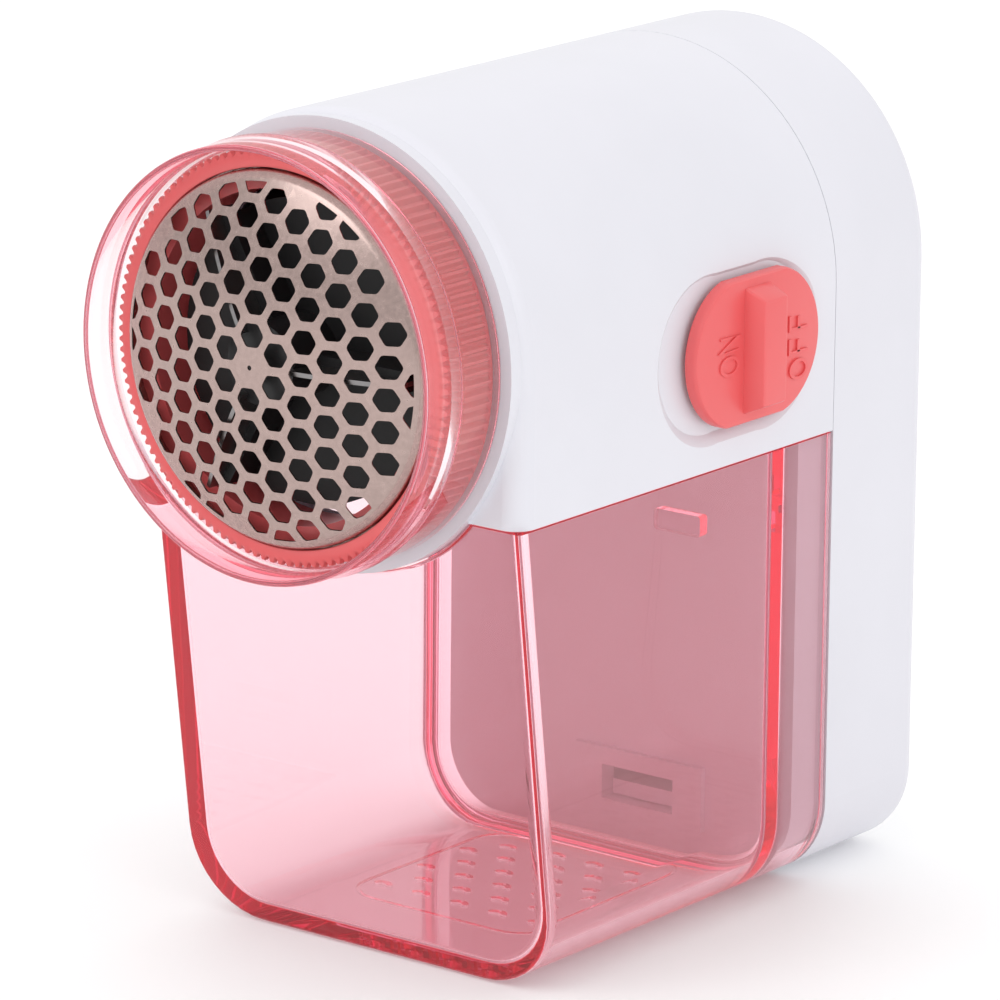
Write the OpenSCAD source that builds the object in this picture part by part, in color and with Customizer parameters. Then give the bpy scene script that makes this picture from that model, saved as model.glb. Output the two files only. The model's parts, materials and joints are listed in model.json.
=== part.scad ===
// Battery fabric shaver: a white casing with a round shaving head on its front,
// a clear lint bin that slides off downwards, and a rear cover over two AA cells.
// Inside this file y is counted from the casing's front wall; in_place() moves the
// finished pieces so that the origin is at the middle of the base.

/* [Casing] */
// Width of the casing
body_w = 52; // [51.5:0.25:53]
// Height from the base to the top of the arch
body_h = 97.5; // [97:0.25:98.5]
// Depth from the front wall to the back of the rear cover
body_d = 77.5; // [77:0.25:79]
// Thickness of the casing walls
wall = 1.8; // [1.7:0.05:2]
// Radius of the two bottom corners
corner_r = 10; // [9.5:0.25:10.5]
// Distance from the front wall to the line between casing and rear cover
seam_y = 58.5; // [58.5:0.1:58.8]

/* [Lint bin] */
// Height of the line between lint bin and casing
bin_top = 54.5; // [54:0.25:55]
// How far the bin's front leans back at the base
bin_lean = 7; // [6:0.5:8]
// Thickness of the bin's walls
bin_wall = 1.7; // [1.6:0.05:1.8]
// Distance from the front wall to the back of the bin's rear wall
bin_rear_y = 50.4; // [50:0.2:50.6]

/* [Shaving head] */
// Radius of the foil that can be seen
foil_r = 20.4; // [20.3:0.05:20.45]
// How far the foil's middle stands in front of the front wall
foil_reach = 14.1; // [14:0.05:14.3]
// Radius of the sphere that the foil is domed to
dome_r = 56.6; // [56:0.2:58]
// Distance between neighbouring foil holes
hole_pitch = 3.75; // [3.65:0.05:4.1]
// Number of ribs on the foil nut
rib_count = 120; // [90:2:120]
// Number of blades on the cutter
blade_count = 3; // [2:1:4]

/* [Switch] */
// How far the switch slides from OFF to ON
switch_travel = 3.5; // [3.2:0.1:3.5]
// Width of the slider, along its travel
slider_w = 23.7; // [23:0.1:24]
// Height of the slider between its two flats
slider_h = 16.7; // [16.5:0.1:17]

/* [Hidden] */
$fn = 64;
eps = 0.01;

// Frame: the origin lies under the middle of the casing
origin_y = body_d / 2;
half_w = body_w / 2;
axis_z = body_h - half_w;

// Casing details
front_round = 2.5;
back_round = 2.5;
seam_gap = 0.1;
floor_z = bin_top + wall;
column_y = 53.2;
column_inset = bin_wall + 0.3;
column_wall = 1.6;
collar_r = 25.4;
collar_t = 0.9;
barrel_r = 21.2;
barrel_bore = 19.4;
barrel_front = -7.5;
chamber_r = 19.8;
chamber_back = 14;
bulkhead_back = 16;
tube_r = 21.8;
duct_half_w = 13;

// Latch between rear cover and column
latch_x = 3;
latch_half_w = 5.2;
latch_z = [6.7, 10.9];
latch_frame_half_w = 9.3;
latch_frame_z = [5.3, 13];
tongue_t = 1.8;

// Lint bin details
lean_angle = atan(bin_lean / bin_top);
bin_gap = 0.2;
notch_r = collar_r + 0.2;

// Head details: positions along the axis are negative in front of the wall
nut_front = -9.3;
nut_lip = 0.6;
nut_back = -1;
nut_bore = barrel_r + 0.05;
nut_r = 22.4;
rib_r = 23.1;
rib_band = [-6.7, -2];
flange_band = [-8.9, -8.1];
ring_front = -14.4;
ring_step = -8.2;
ring_back = -1;
ring_front_r = 23.9;
ring_step_r = 24.6;
ring_back_r = 24.1;
ring_bore = 23.3;
dome_centre = dome_r - foil_reach;
foil_t = 0.3;
foil_rim_r = 21.1;
foil_rim_front = -8.6;
frame_r = 19.3;
frame_bore = 18.6;
frame_front = foil_rim_front + foil_t + eps;
frame_back = -1.5;
flange_back = barrel_front - 0.1;
liner_r = 19.7;
liner_bore = 18.9;
liner_front = 2.1;
hole_r = 1.5;
field_r = 18.6;
lattice_tilt = 4;

// Cutter and motor
shaft_r = 1;
shaft_clear = 0.03;
hub_r = 4.6;
hub_back = -2;
hub_disc_r = 17;
hub_disc_y = [-4.5, -3.2];
hub_pocket_r = 3.2;
hub_pocket_front = -8;
cutter_gap = 0.35;
float_travel = 1;
blade_r = 17.8;
blade_t = 0.5;
seat_front = hub_back + float_travel + 0.1;
can_r = 10.05;
can_half_h = 7.55;
can_front = bulkhead_back + 0.2;
can_back = 39;
cap_back = 41.5;
bush_r = 3;
seal_r = 4.5;
boss_spots = [[-12.5, 83.5], [12.5, 59.5]];
boss_r = 2.6;
pilot_r = 1;
bracket_t = 1.5;

// Cells and tray
cell_r = 7.2;
cell_len = 50.5;
nub_r = 2.7;
nub_h = 1;
cell_x = 7.6;
cell_y = 66.4;
cell_z = 16;
cell_top = cell_z + cell_len;
contact_t = 0.4;
contact_gap = 1.2;
tray_y = [56.7, 58.4];
tray_bottom = 12.8;
tray_half_w = 22.2;
tray_arch_r = 24;
cradle_half_w = 16.8;
cradle_wall = 1.6;
cradle_back = 67;
bottom_plate_z = cell_z - contact_gap - contact_t;
top_plate_z = cell_top + contact_gap;
tray_spots = [[-19.5, 20], [19.5, 20], [-19.05, 82.5], [19.05, 82.5]];
tag_x = 7.5;

// Switch: distances along x from the middle of the casing
slider_y = 41.5;
slider_z = 67.6;
slider_face = half_w + 1.5;
grip_face = half_w + 4.2;
track_x = half_w - 0.8;
track_gap = 0.4;
track_slope = 1.2;
end_r = slider_h / 2 + 0.25;
end_y = slider_w / 2 - end_r;
pad_x = half_w - 2.8;
stem_half = [3, 2.5];
base_x = [17.4, 18.6];
post_spots = [[-9, -6.3], [9, -6.3]];
terminal_ys = [-6.5, -0.5];

// Routes of the internal leads, from end to end
red_supply = [[-tag_x, 54.9, top_plate_z + 0.2], [-tag_x, 50, 66], [-tag_x, 48, 60],
              [13, 48, 60], [14.5, 44, 64], [15.1, 41, slider_z]];
red_motor = [[15.1, 35, slider_z], [13.2, 36, 70], [13.2, 44.5, 73], [9, 48, 76],
             [4, 48.2, 75.5], [4, 45.1, 75.5]];
black_return = [[tag_x, 54.9, top_plate_z + 0.2], [tag_x, 51, 66], [0, 49, 64],
                [-4, 48.2, 66], [-4, 45.1, 67.5]];
lead_r = 0.7;

// ---------- Shared shapes ----------

// Moves a piece from front-wall distances to the part's own frame
module in_place() {
  translate([0, -origin_y, 0]) children();
}

// Extrudes an outline drawn in x and z from y0 back to y1
module along_y(y0, y1) {
  translate([0, y1, 0]) rotate([90, 0, 0]) linear_extrude(y1 - y0) children();
}

// Places children on the head's axis, with their own z axis running towards the back
module on_axis(y = 0, x = 0, z = axis_z) {
  translate([x, y, z]) rotate([-90, 0, 0]) children();
}

module disc_y(r, y0, y1, x = 0, z = axis_z) {
  on_axis(y0, x, z) cylinder(r = r, h = y1 - y0);
}

module ring_y(r_out, r_in, y0, y1, x = 0, z = axis_z) {
  difference() {
    disc_y(r_out, y0, y1, x, z);
    disc_y(r_in, y0 - 1, y1 + 1, x, z);
  }
}

module disc_x(r, x0, x1, y, z) {
  translate([x0, y, z]) rotate([0, 90, 0]) cylinder(r = r, h = x1 - x0);
}

// A box from its low corner to its high corner
module block(low, high) {
  translate(low) cube(high - low);
}

// A box of half width half_x about x = 0
module slab(half_x, y0, y1, z0, z1) {
  block([-half_x, y0, z0], [half_x, y1, z1]);
}

// Both sides of the casing
module both_sides() {
  for (side = [0, 1]) mirror([side, 0, 0]) children();
}

// Outline of the bin: straight sides and two round bottom corners
module tub_2d(inset, top) {
  hw = half_w - inset;
  r = corner_r - inset;
  translate([-hw, inset + r]) square([2 * hw, top - inset - r]);
  translate([r - hw, inset]) square([2 * (hw - r), 2 * r]);
  for (side = [-1, 1]) translate([side * (hw - r), inset + r]) circle(r);
}

// Outline of the whole casing: the bin's outline with an arch on top
module tomb_2d(inset) {
  tub_2d(inset, axis_z);
  translate([0, axis_z]) circle(half_w - inset);
}

// Outline of the upper casing only
module arch_2d(inset) {
  intersection() {
    tomb_2d(inset);
    translate([-half_w, bin_top + inset]) square([body_w, body_h]);
  }
}

// Half of a section across a wall: r wide, y0 to y1, its outer corners rounded
module edge_2d(r, y0, y1, front, back) {
  difference() {
    translate([0, y0]) square([r, y1 - y0]);
    if (front > 0) corner_cut(r, y0, front, 1);
    if (back > 0) corner_cut(r, y1, back, -1);
  }
}

module corner_cut(r, y, round, side) {
  translate([r - round, y]) scale([1, side]) difference() {
    translate([0, -1]) square([round + 1, round + 1]);
    translate([0, round]) circle(round);
  }
}

// The tombstone-shaped solid of the rear cover, with a rounded back edge
module tomb_solid(inset, y0, y1, back) {
  hw = half_w - inset;
  r = corner_r - inset;
  on_axis() rotate_extrude() edge_2d(hw, y0, y1, 0, back);
  both_sides() {
    translate([hw - r, 0, corner_r]) rotate([-90, 0, 0]) rotate_extrude() edge_2d(r, y0, y1, 0, back);
    translate([0, 0, corner_r]) linear_extrude(axis_z - corner_r) edge_2d(hw, y0, y1, 0, back);
  }
  translate([r - hw, 0, corner_r]) rotate([0, 90, 0]) linear_extrude(2 * (hw - r))
    edge_2d(r, y0, y1, 0, back);
}

// The upper casing's solid, with a rounded front edge
module arch_solid() {
  intersection() {
    union() {
      on_axis() rotate_extrude() edge_2d(half_w, 0, seam_y, front_round, 0);
      both_sides() translate([0, 0, bin_top]) linear_extrude(axis_z - bin_top)
        edge_2d(half_w, 0, seam_y, front_round, 0);
    }
    slab(half_w + 1, -1, seam_y + 1, bin_top, body_h + 1);
  }
}

// A helical wire spring along +z, as rings of points joined along the helix
module coil_spring(r, wire_r, height, turns) {
  sides = 6;
  steps = 14 * turns;
  ring = function(i) [for (s = [0:sides - 1])
    let (turn = 360 * turns * i / steps, a = 360 * s / sides, out = r + wire_r * cos(a))
    [out * cos(turn), out * sin(turn),
     wire_r + (height - 2 * wire_r) * i / steps + wire_r * sin(a)]];
  points = [for (i = [0:steps]) each ring(i)];
  skin = [for (i = [0:steps - 1], s = [0:sides - 1])
    let (a = i * sides + s, b = i * sides + (s + 1) % sides)
    [a, a + sides, b + sides, b]];
  first = [for (s = [0:sides - 1]) s];
  last = [for (s = [sides - 1:-1:0]) steps * sides + s];
  polyhedron(points, concat([first, last], skin));
}

// A lead as a wire through the points of its route, its runs lapping over at the bends
module wire(route, r) {
  lap = 0.4 * r;
  last = len(route) - 2;
  for (i = [0:last]) {
    run = route[i + 1] - route[i];
    before = i > 0 ? lap : 0;
    after = i < last ? lap : 0;
    translate(route[i]) rotate([0, atan2(norm([run.x, run.y]), run.z), atan2(run.y, run.x)])
      translate([0, 0, -before]) cylinder(r = r, h = before + norm(run) + after, $fn = 12);
  }
}

// A pan-head screw along -y, its head's underside at y = 0
module screw(shank_r, length, head_r, head_h) {
  rotate([90, 0, 0]) cylinder(r = shank_r, h = length);
  rotate([-90, 0, 0]) difference() {
    cylinder(r = head_r, h = head_h);
    for (turn = [0, 90]) rotate(turn)
      translate([-head_r * 0.7, -0.25, head_h - 0.4]) cube([head_r * 1.4, 0.5, 1]);
  }
}

// ---------- Casing ----------

module main_housing() {
  color("white") in_place() difference() {
    union() {
      difference() {
        union() {
          arch_solid();
          along_y(column_y, seam_y) tub_2d(column_inset, floor_z);
          translate([latch_x, 0, 0])
            slab(latch_frame_half_w, column_y - 0.8, column_y + eps, latch_frame_z[0], latch_frame_z[1]);
        }
        along_y(2, seam_y + 1) arch_2d(wall);
        along_y(column_y + column_wall, seam_y + 1) tub_2d(column_inset + column_wall, floor_z + 1);
      }
      head_mount();
      motor_mount();
      tray_bosses();
      switch_mount();
    }
    disc_y(barrel_bore, barrel_front - 1, 2 + eps);
    disc_y(bush_r, chamber_back - 1, bulkhead_back + 1);
    slab(duct_half_w, 3, chamber_back - 1, bin_top - 3, bin_top + 5);
    translate([latch_x, 0, 0]) slab(latch_half_w, column_y - 1, column_y + 2, latch_z[0], latch_z[1]);
    for (p = boss_spots) disc_y(pilot_r, cap_back - 12, cap_back + 1, p.x, p.y);
    for (p = tray_spots) disc_y(pilot_r, pilot_front(p), tray_y[0] + 1, p.x, p.y);
    switch_cuts();
  }
}

// Front collar with its chin below the casing's edge, the barrel and the chamber wall
module head_mount() {
  disc_y(collar_r, -collar_t, wall);
  disc_y(barrel_r, barrel_front, 0);
  intersection() {
    union() {
      ring_y(tube_r, chamber_r, wall, bulkhead_back);
      disc_y(tube_r, chamber_back, bulkhead_back);
    }
    slab(half_w, 0, bulkhead_back, bin_top, body_h);
  }
}

// Screw bosses for the motor bracket and two saddles under the motor
module motor_mount() {
  for (p = boss_spots) disc_y(boss_r, bulkhead_back - 1, cap_back + 0.2, p.x, p.y);
  for (y = [22, 33]) slab(8, y, y + 1.5, floor_z - 0.5, axis_z - can_half_h - 0.05);
}

// The two lower bosses are short: the column's front wall is close behind the tray
module tray_bosses() {
  for (p = tray_spots)
    disc_y(boss_r, p.y > bin_top ? tray_y[0] - 10.7 : column_y + 1, tray_y[0] - 0.05, p.x, p.y);
}

function pilot_front(p) = p.y > bin_top ? tray_y[0] - 5 : column_y + 0.8;

// Pad round the switch slot and two posts for the switch base
module switch_mount() {
  block([pad_x, slider_y - 13, slider_z - 7.5], [half_w - 1, slider_y + 10, slider_z + 3.8]);
  for (p = post_spots)
    disc_x(1.7, base_x[1] + 0.05, half_w - 1, slider_y + p.x, slider_z + p.y);
}

// Outline of the slider in y and z: two round ends cut by two flats
module slider_2d() {
  intersection() {
    union() {
      for (side = [-1, 1]) translate([side * end_y, 0]) circle(end_r);
      square([2 * end_y, slider_h], center = true);
    }
    square([slider_w + 1, slider_h], center = true);
  }
}

// Places a y-z outline on the side wall, as a slab from x0 to x1
module on_side(x0, x1) {
  translate([x0, slider_y, slider_z]) rotate([90, 0, 90]) linear_extrude(x1 - x0) children();
}

// The shallow track with sloping sides that the slider runs in
module track() {
  depth = half_w - track_x;
  low_r = end_r + track_gap;
  front_y = slider_y - switch_travel - end_y;
  for (y = [front_y, slider_y + end_y]) translate([track_x, y, slider_z]) rotate([0, 90, 0])
    cylinder(r1 = low_r, r2 = low_r + 2 * track_slope, h = 2 * depth);
  h = low_r - 0.1;
  translate([0, front_y, slider_z]) rotate([-90, 0, 0])
    linear_extrude(slider_y + end_y - front_y)
      polygon([[track_x, -h], [track_x + 2 * depth, -h - 2 * track_slope],
               [track_x + 2 * depth, h + 2 * track_slope], [track_x, h]]);
}

module switch_cuts() {
  track();
  block([pad_x - 1, slider_y - stem_half[0] - switch_travel - 0.2, slider_z - stem_half[1] - 0.05],
        [half_w, slider_y + stem_half[0] + 0.2, slider_z + stem_half[1] + 0.05]);
  for (p = post_spots)
    disc_x(0.8, base_x[1], base_x[1] + 4, slider_y + p.x, slider_z + p.y);
}

module rear_cover() {
  tab_half_w = 5;
  tab_top = axis_z + sqrt((half_w - wall) ^ 2 - tab_half_w ^ 2) - 0.2;
  color("white") in_place() {
    difference() {
      tomb_solid(0, seam_y + seam_gap, body_d, back_round);
      tomb_solid(wall, seam_y - 1, body_d - wall, back_round - 1);
    }
    slab(tab_half_w, seam_y - 3, seam_y + 4, tab_top - 1.2, tab_top);
    slab(tab_half_w, seam_y + seam_gap, seam_y + 4, tab_top - 1, body_h - 1);
    translate([latch_x, 0, 0]) latch_tongue();
  }
}

// A tongue that reaches into the column's slot, on a rib that stands on the cover's floor
module latch_tongue() {
  tongue_z = latch_z[0] + 0.2;
  slab(latch_half_w - 0.2, column_y + 1.2, seam_y + 3, tongue_z, tongue_z + tongue_t);
  slab(latch_half_w - 0.2, seam_y + 1, seam_y + 3, 1, tongue_z + 0.1);
}

// The space behind the bin's leaning front, starting at depth behind its outer face
module behind_front(depth) {
  translate([0, depth, bin_top]) rotate([lean_angle, 0, 0])
    slab(body_w, 0, 3 * body_d, -2 * body_h, body_h);
}

module lint_bin() {
  tab_z = [41.5, 44];
  color("pink", 0.5) in_place() {
    difference() {
      intersection() {
        along_y(0, seam_y - bin_gap) tub_2d(0, bin_top - bin_gap);
        behind_front(0);
      }
      intersection() {
        along_y(0, bin_rear_y - bin_wall) tub_2d(bin_wall, body_h);
        behind_front(bin_wall);
      }
      along_y(bin_rear_y, seam_y) tub_2d(bin_wall, body_h);
      disc_y(notch_r, -1, 6);
    }
    both_sides() block([6.4, bin_rear_y - eps, tab_z[0]], [13, bin_rear_y + 1.4, tab_z[1]]);
  }
}

// ---------- Shaving head ----------

module guard_ring() {
  color("pink", 0.5) in_place() difference() {
    union() {
      on_axis(ring_front) cylinder(r1 = ring_front_r, r2 = ring_step_r, h = ring_step - ring_front);
      disc_y(ring_back_r, ring_step - eps, ring_back);
    }
    disc_y(ring_bore, ring_front - 1, ring_back + 1);
  }
}

// Outline of a serrated band: count teeth between r_in and r_out
module serrated_2d(r_in, r_out, count) {
  polygon([for (i = [0:2 * count - 1])
    let (r = i % 2 == 0 ? r_out : r_in, a = 180 * i / count) [r * cos(a), r * sin(a)]]);
}

module foil_nut() {
  color("salmon") in_place() difference() {
    union() {
      disc_y(nut_r, nut_front, nut_back);
      for (band = [rib_band, flange_band]) on_axis(band[0])
        linear_extrude(band[1] - band[0]) serrated_2d(nut_r - 0.1, rib_r, rib_count);
    }
    disc_y(foil_r + 0.1, nut_front - 1, nut_back + 1);
    disc_y(nut_bore, nut_front + nut_lip, nut_back + 1);
  }
}

// Centres of the foil holes: a triangular lattice with none at the middle
function foil_holes() = [for (i = [-6:6], j = [-6:6])
  let (x = hole_pitch * i * sqrt(3) / 2, y = hole_pitch * (j + (i % 2) / 2), r = norm([x, y]))
  if (r > 1 && r < field_r - 1) [x, y]];

module foil() {
  skirt_front = dome_centre - sqrt(dome_r ^ 2 - foil_r ^ 2) + foil_t / 2;
  color("silver") in_place() {
    difference() {
      intersection() {
        on_axis(dome_centre) difference() {
          sphere(dome_r);
          sphere(dome_r - foil_t);
        }
        disc_y(foil_r, -foil_reach - 1, foil_rim_front);
      }
      on_axis(-foil_reach - 1) rotate(lattice_tilt) for (p = foil_holes())
        translate(p) cylinder(r = hole_r, h = foil_reach, $fn = 6);
    }
    ring_y(foil_r - 0.02, foil_r - foil_t, skirt_front, foil_rim_front + foil_t);
    ring_y(foil_rim_r, foil_r - 0.2, foil_rim_front, foil_rim_front + foil_t);
  }
}

// Sleeve that the foil is set in, with a flange held between barrel and nut
module foil_frame() {
  color("salmon") in_place() {
    ring_y(frame_r, frame_bore, frame_front, frame_back);
    ring_y(foil_rim_r, frame_r - 0.1, frame_front, flange_back);
  }
}

// A ball just inside the foil, which the cutter's front follows
module inside_dome(gap) {
  on_axis(dome_centre) sphere(dome_r - foil_t - gap);
}

module cutter_hub() {
  arm_half_w = 1.3;
  color("dimgray") in_place() difference() {
    intersection() {
      union() {
        disc_y(hub_r, -foil_reach, hub_back);
        disc_y(hub_disc_r, hub_disc_y[0], hub_disc_y[1]);
        for (i = [0:blade_count - 1]) on_axis(-9) rotate(360 * i / blade_count)
          translate([0, -arm_half_w, 0]) cube([blade_r - 1, 2 * arm_half_w, 5]);
      }
      inside_dome(cutter_gap + 1);
    }
    disc_y(shaft_r + shaft_clear, -foil_reach - 1, hub_back + 1);
    disc_y(hub_pocket_r, hub_pocket_front, hub_back + 1);
    for (i = [0:blade_count - 1]) on_axis(-14) rotate(360 * i / blade_count)
      translate([hub_pocket_r + 0.6, -blade_t / 2, 0]) cube([blade_r, blade_t, 8]);
  }
}

module cutter_blades() {
  color("lightgray") in_place() intersection() {
    for (i = [0:blade_count - 1]) on_axis(-14) rotate(360 * i / blade_count)
      translate([hub_pocket_r + 0.6, -blade_t / 2, 0])
        cube([blade_r - hub_pocket_r - 0.6, blade_t, 8]);
    inside_dome(cutter_gap);
  }
}

module cutter_spring() {
  spring_front = hub_pocket_front + float_travel + 0.1;
  color("silver") in_place() on_axis(spring_front)
    coil_spring(2.3, 0.3, seat_front - spring_front - eps, 4);
}

// ---------- Motor ----------

// A round outline with two flats at half height h
module can_2d(r, h) {
  intersection() {
    circle(r);
    square([2 * r, 2 * h], center = true);
  }
}

module can_y(r, h, y0, y1) {
  on_axis(y0) linear_extrude(y1 - y0) can_2d(r, h);
}

module motor_shaft() {
  shaft_front = -10;
  color("silver") in_place() {
    disc_y(shaft_r, shaft_front, cap_back + 1);
    ring_y(hub_pocket_r, shaft_r, seat_front, seat_front + 1);
  }
}

module armature_core() {
  color("gray") in_place() difference() {
    disc_y(6.9, 20, 33);
    disc_y(shaft_r, 19, 34);
    for (turn = [0, 120, 240]) on_axis(19) rotate(turn) translate([3.5, -0.8, 0]) cube([4, 1.6, 15]);
  }
}

module armature_windings() {
  color("chocolate") in_place() {
    ring_y(6.2, 2.2, 18, 20 - eps);
    ring_y(6.2, 2.2, 33 + eps, 35);
  }
}

module commutator() {
  color("peru") in_place() ring_y(2.3, shaft_r, 35.2, 38.4);
}

module motor_can() {
  can_t = 0.6;
  color("silver") in_place() difference() {
    can_y(can_r, can_half_h, can_front, can_back);
    can_y(can_r - can_t, can_half_h - can_t, can_front + can_t, can_back + 1);
    disc_y(shaft_r + 0.1, can_front - 1, can_front + 1);
  }
}

module motor_magnets() {
  color("dimgray") in_place() difference() {
    can_y(9.4, 6.8, 19, 35);
    disc_y(7.2, 18, 36);
    slab(4.5, 18, 36, axis_z - 8, axis_z + 8);
  }
}

module motor_end_cap() {
  color("black") in_place() difference() {
    union() {
      can_y(can_r, can_half_h, can_back + eps, cap_back);
      disc_y(bush_r, cap_back - eps, cap_back + 1.6);
    }
    disc_y(shaft_r + shaft_clear, can_back - 1, cap_back + 1.1);
    motor_tabs();
  }
}

module motor_tabs() {
  for (side = [-1, 1])
    block([4 * side - 0.9, can_back + 0.5, axis_z + 4 * side - 0.2],
          [4 * side + 0.9, cap_back + 3.5, axis_z + 4 * side + 0.2]);
}

module motor_terminals() {
  color("gold") in_place() motor_tabs();
}

module shaft_bush() {
  color("peru") in_place()
    ring_y(bush_r - 0.02, shaft_r + shaft_clear, chamber_back + 0.2, can_front - eps);
}

module shaft_seal() {
  color("darkgray") in_place() ring_y(seal_r, shaft_r + 0.1, chamber_back - 0.9, chamber_back - eps);
}

module motor_bracket() {
  bar_half_w = 2.6;
  run = boss_spots[1] - boss_spots[0];
  color("silver") in_place() difference() {
    union() {
      translate([0, cap_back + 0.25, axis_z]) rotate([0, -atan2(run.y, run.x), 0])
        translate([-norm(run) / 2, 0, -bar_half_w]) cube([norm(run), bracket_t, 2 * bar_half_w]);
      for (p = boss_spots)
        disc_y(bar_half_w + 0.4, cap_back + 0.25, cap_back + 0.25 + bracket_t, p.x, p.y);
    }
    disc_y(bush_r + 0.1, cap_back - 1, cap_back + 3);
    for (p = boss_spots) disc_y(pilot_r + 0.1, cap_back - 1, cap_back + 3, p.x, p.y);
  }
}

module bracket_screws() {
  color("silver") in_place() for (p = boss_spots)
    translate([p.x, cap_back + 0.25 + bracket_t + eps, p.y]) screw(pilot_r - 0.02, 9, 2, 1.3);
}

// Black cup that lines the cutting chamber, open to the lint duct
module chamber_liner() {
  back = [chamber_back - 1.1, chamber_back - 0.05];
  color("dimgray") in_place() difference() {
    union() {
      ring_y(liner_r, liner_bore, liner_front, back[1]);
      ring_y(liner_r, seal_r + 0.1, back[0], back[1]);
    }
    slab(duct_half_w, liner_front - 1, chamber_back + 1, bin_top - 3, floor_z + 0.1);
  }
}

// ---------- Cells and contacts ----------

module battery_tray() {
  tag_slot = 0.3;
  color("white") in_place() difference() {
    union() {
      along_y(tray_y[0], tray_y[1]) intersection() {
        union() {
          translate([-tray_half_w, tray_bottom]) square([2 * tray_half_w, axis_z - tray_bottom]);
          translate([0, axis_z]) circle(tray_arch_r);
        }
        translate([-half_w, tray_bottom]) square([body_w, body_h - tray_bottom - 5.5]);
      }
      difference() {
        slab(cradle_half_w, tray_y[1] - eps, cradle_back,
             bottom_plate_z - cradle_wall, top_plate_z + contact_t + cradle_wall);
        slab(cradle_half_w - cradle_wall, tray_y[1], cradle_back + 1,
             bottom_plate_z, top_plate_z + contact_t);
      }
    }
    both_sides() block([tag_x - 1.6, tray_y[0] - 1, top_plate_z - tag_slot],
                       [tag_x + 1.6, tray_y[1] + 1, top_plate_z + contact_t + eps]);
    for (p = tray_spots) disc_y(pilot_r + 0.1, tray_y[0] - 1, tray_y[1] + 1, p.x, p.y);
  }
}

module tray_screws() {
  color("silver") in_place() for (p = tray_spots)
    translate([p.x, tray_y[1] + eps, p.y]) screw(pilot_r - 0.02, tray_y[1] - pilot_front(p) - 0.3, 1.8, 1.2);
}

// One AA cell standing on its flat end, its nub upwards
module cell() {
  cylinder(r = cell_r, h = cell_len - nub_h);
  cylinder(r = nub_r, h = cell_len);
}

module battery_left() {
  color("seagreen") in_place() translate([-cell_x, cell_y, cell_z]) cell();
}

module battery_right() {
  color("seagreen") in_place() translate([cell_x, cell_y, cell_top]) rotate([180, 0, 0]) cell();
}

// Springs at the two flat ends: left cell's bottom and right cell's top
module battery_springs() {
  spring_h = contact_gap - 2 * eps;
  color("silver") in_place() for (p = [[-cell_x, cell_z - contact_gap], [cell_x, cell_top]])
    translate([p.x, cell_y - 2, p.y + eps]) coil_spring(3, 0.2, spring_h, 1.5);
}

module bridge_contact() {
  color("silver") in_place() {
    slab(cradle_half_w - cradle_wall - 0.2, tray_y[1] + 0.2, cradle_back,
         bottom_plate_z + eps, bottom_plate_z + contact_t - eps);
    translate([cell_x, cell_y - 2, bottom_plate_z + contact_t - 2 * eps])
      cylinder(r = 3, h = contact_gap);
  }
}

// Two plates above the cells, each with a tag through the tray
module top_contacts() {
  color("silver") in_place() {
    both_sides() {
      block([1, tray_y[1] + 0.2, top_plate_z + eps],
            [cradle_half_w - cradle_wall - 0.2, cradle_back, top_plate_z + contact_t - eps]);
      block([tag_x - 1.5, tray_y[0] - 1.8, top_plate_z + eps],
            [tag_x + 1.5, tray_y[1] + 1, top_plate_z + contact_t - eps]);
    }
    translate([-cell_x, cell_y - 2, cell_top + eps]) cylinder(r = 3, h = contact_gap + eps);
  }
}

// ---------- Switch ----------

module switch_slider() {
  grip = [2.4, 6.1];
  grip_foot = [2.8, 7.2];
  color("salmon") in_place() difference() {
    union() {
      on_side(track_x + 0.1, slider_face) slider_2d();
      block([slider_face - eps, slider_y - grip_foot[0], slider_z - grip_foot[1]],
            [slider_face + 1.2, slider_y + grip_foot[0], slider_z + grip_foot[1]]);
      block([slider_face, slider_y - grip[0], slider_z - grip[1]],
            [grip_face, slider_y + grip[0], slider_z + grip[1]]);
      block([pad_x - 0.2, slider_y - stem_half[0], slider_z - stem_half[1]],
            [track_x + 0.2, slider_y + stem_half[0], slider_z + stem_half[1]]);
    }
    disc_x(pilot_r, pad_x - 1, slider_face - 1, slider_y, slider_z);
  }
}

module slider_retainer() {
  color("white") in_place() difference() {
    block([pad_x - 1.2, slider_y - 5.5, slider_z - 4], [pad_x - 0.2 - eps, slider_y + 5.5, slider_z + 4]);
    disc_x(pilot_r + 0.1, pad_x - 2, pad_x, slider_y, slider_z);
  }
}

module switch_wiper() {
  plate = [pad_x - 1.6, pad_x - 1.2 - eps];
  color("gold") in_place() difference() {
    union() {
      block([plate[0], slider_y - 4, slider_z - 1.6], [plate[1], slider_y + 4, slider_z + 1.6]);
      for (y = [-3, 3]) disc_x(0.7, base_x[1] + 0.45, plate[0] + eps, slider_y + y, slider_z);
    }
    disc_x(pilot_r + 0.1, pad_x - 3, pad_x, slider_y, slider_z);
  }
}

module slider_screw() {
  color("silver") in_place() translate([pad_x - 1.6 - eps, slider_y, slider_z]) rotate([0, 0, 90])
    screw(pilot_r - 0.02, 4.5, 1.9, 0.8);
}

module switch_base() {
  color("peru") in_place() difference() {
    block([base_x[0], slider_y - 11, slider_z - 8.2], [base_x[1], slider_y + 11, slider_z + 3.5]);
    for (y = terminal_ys) terminal_block(y);
    for (p = post_spots)
      disc_x(0.9, base_x[0] - 1, base_x[1] + 1, slider_y + p.x, slider_z + p.y);
  }
}

module terminal_block(y) {
  block([base_x[0] - 1.6, slider_y + y - 0.9, slider_z - 0.8],
        [base_x[1] + 0.4, slider_y + y + 0.9, slider_z + 0.8]);
}

module switch_terminals() {
  color("gold") in_place() for (y = terminal_ys) terminal_block(y);
}

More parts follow.
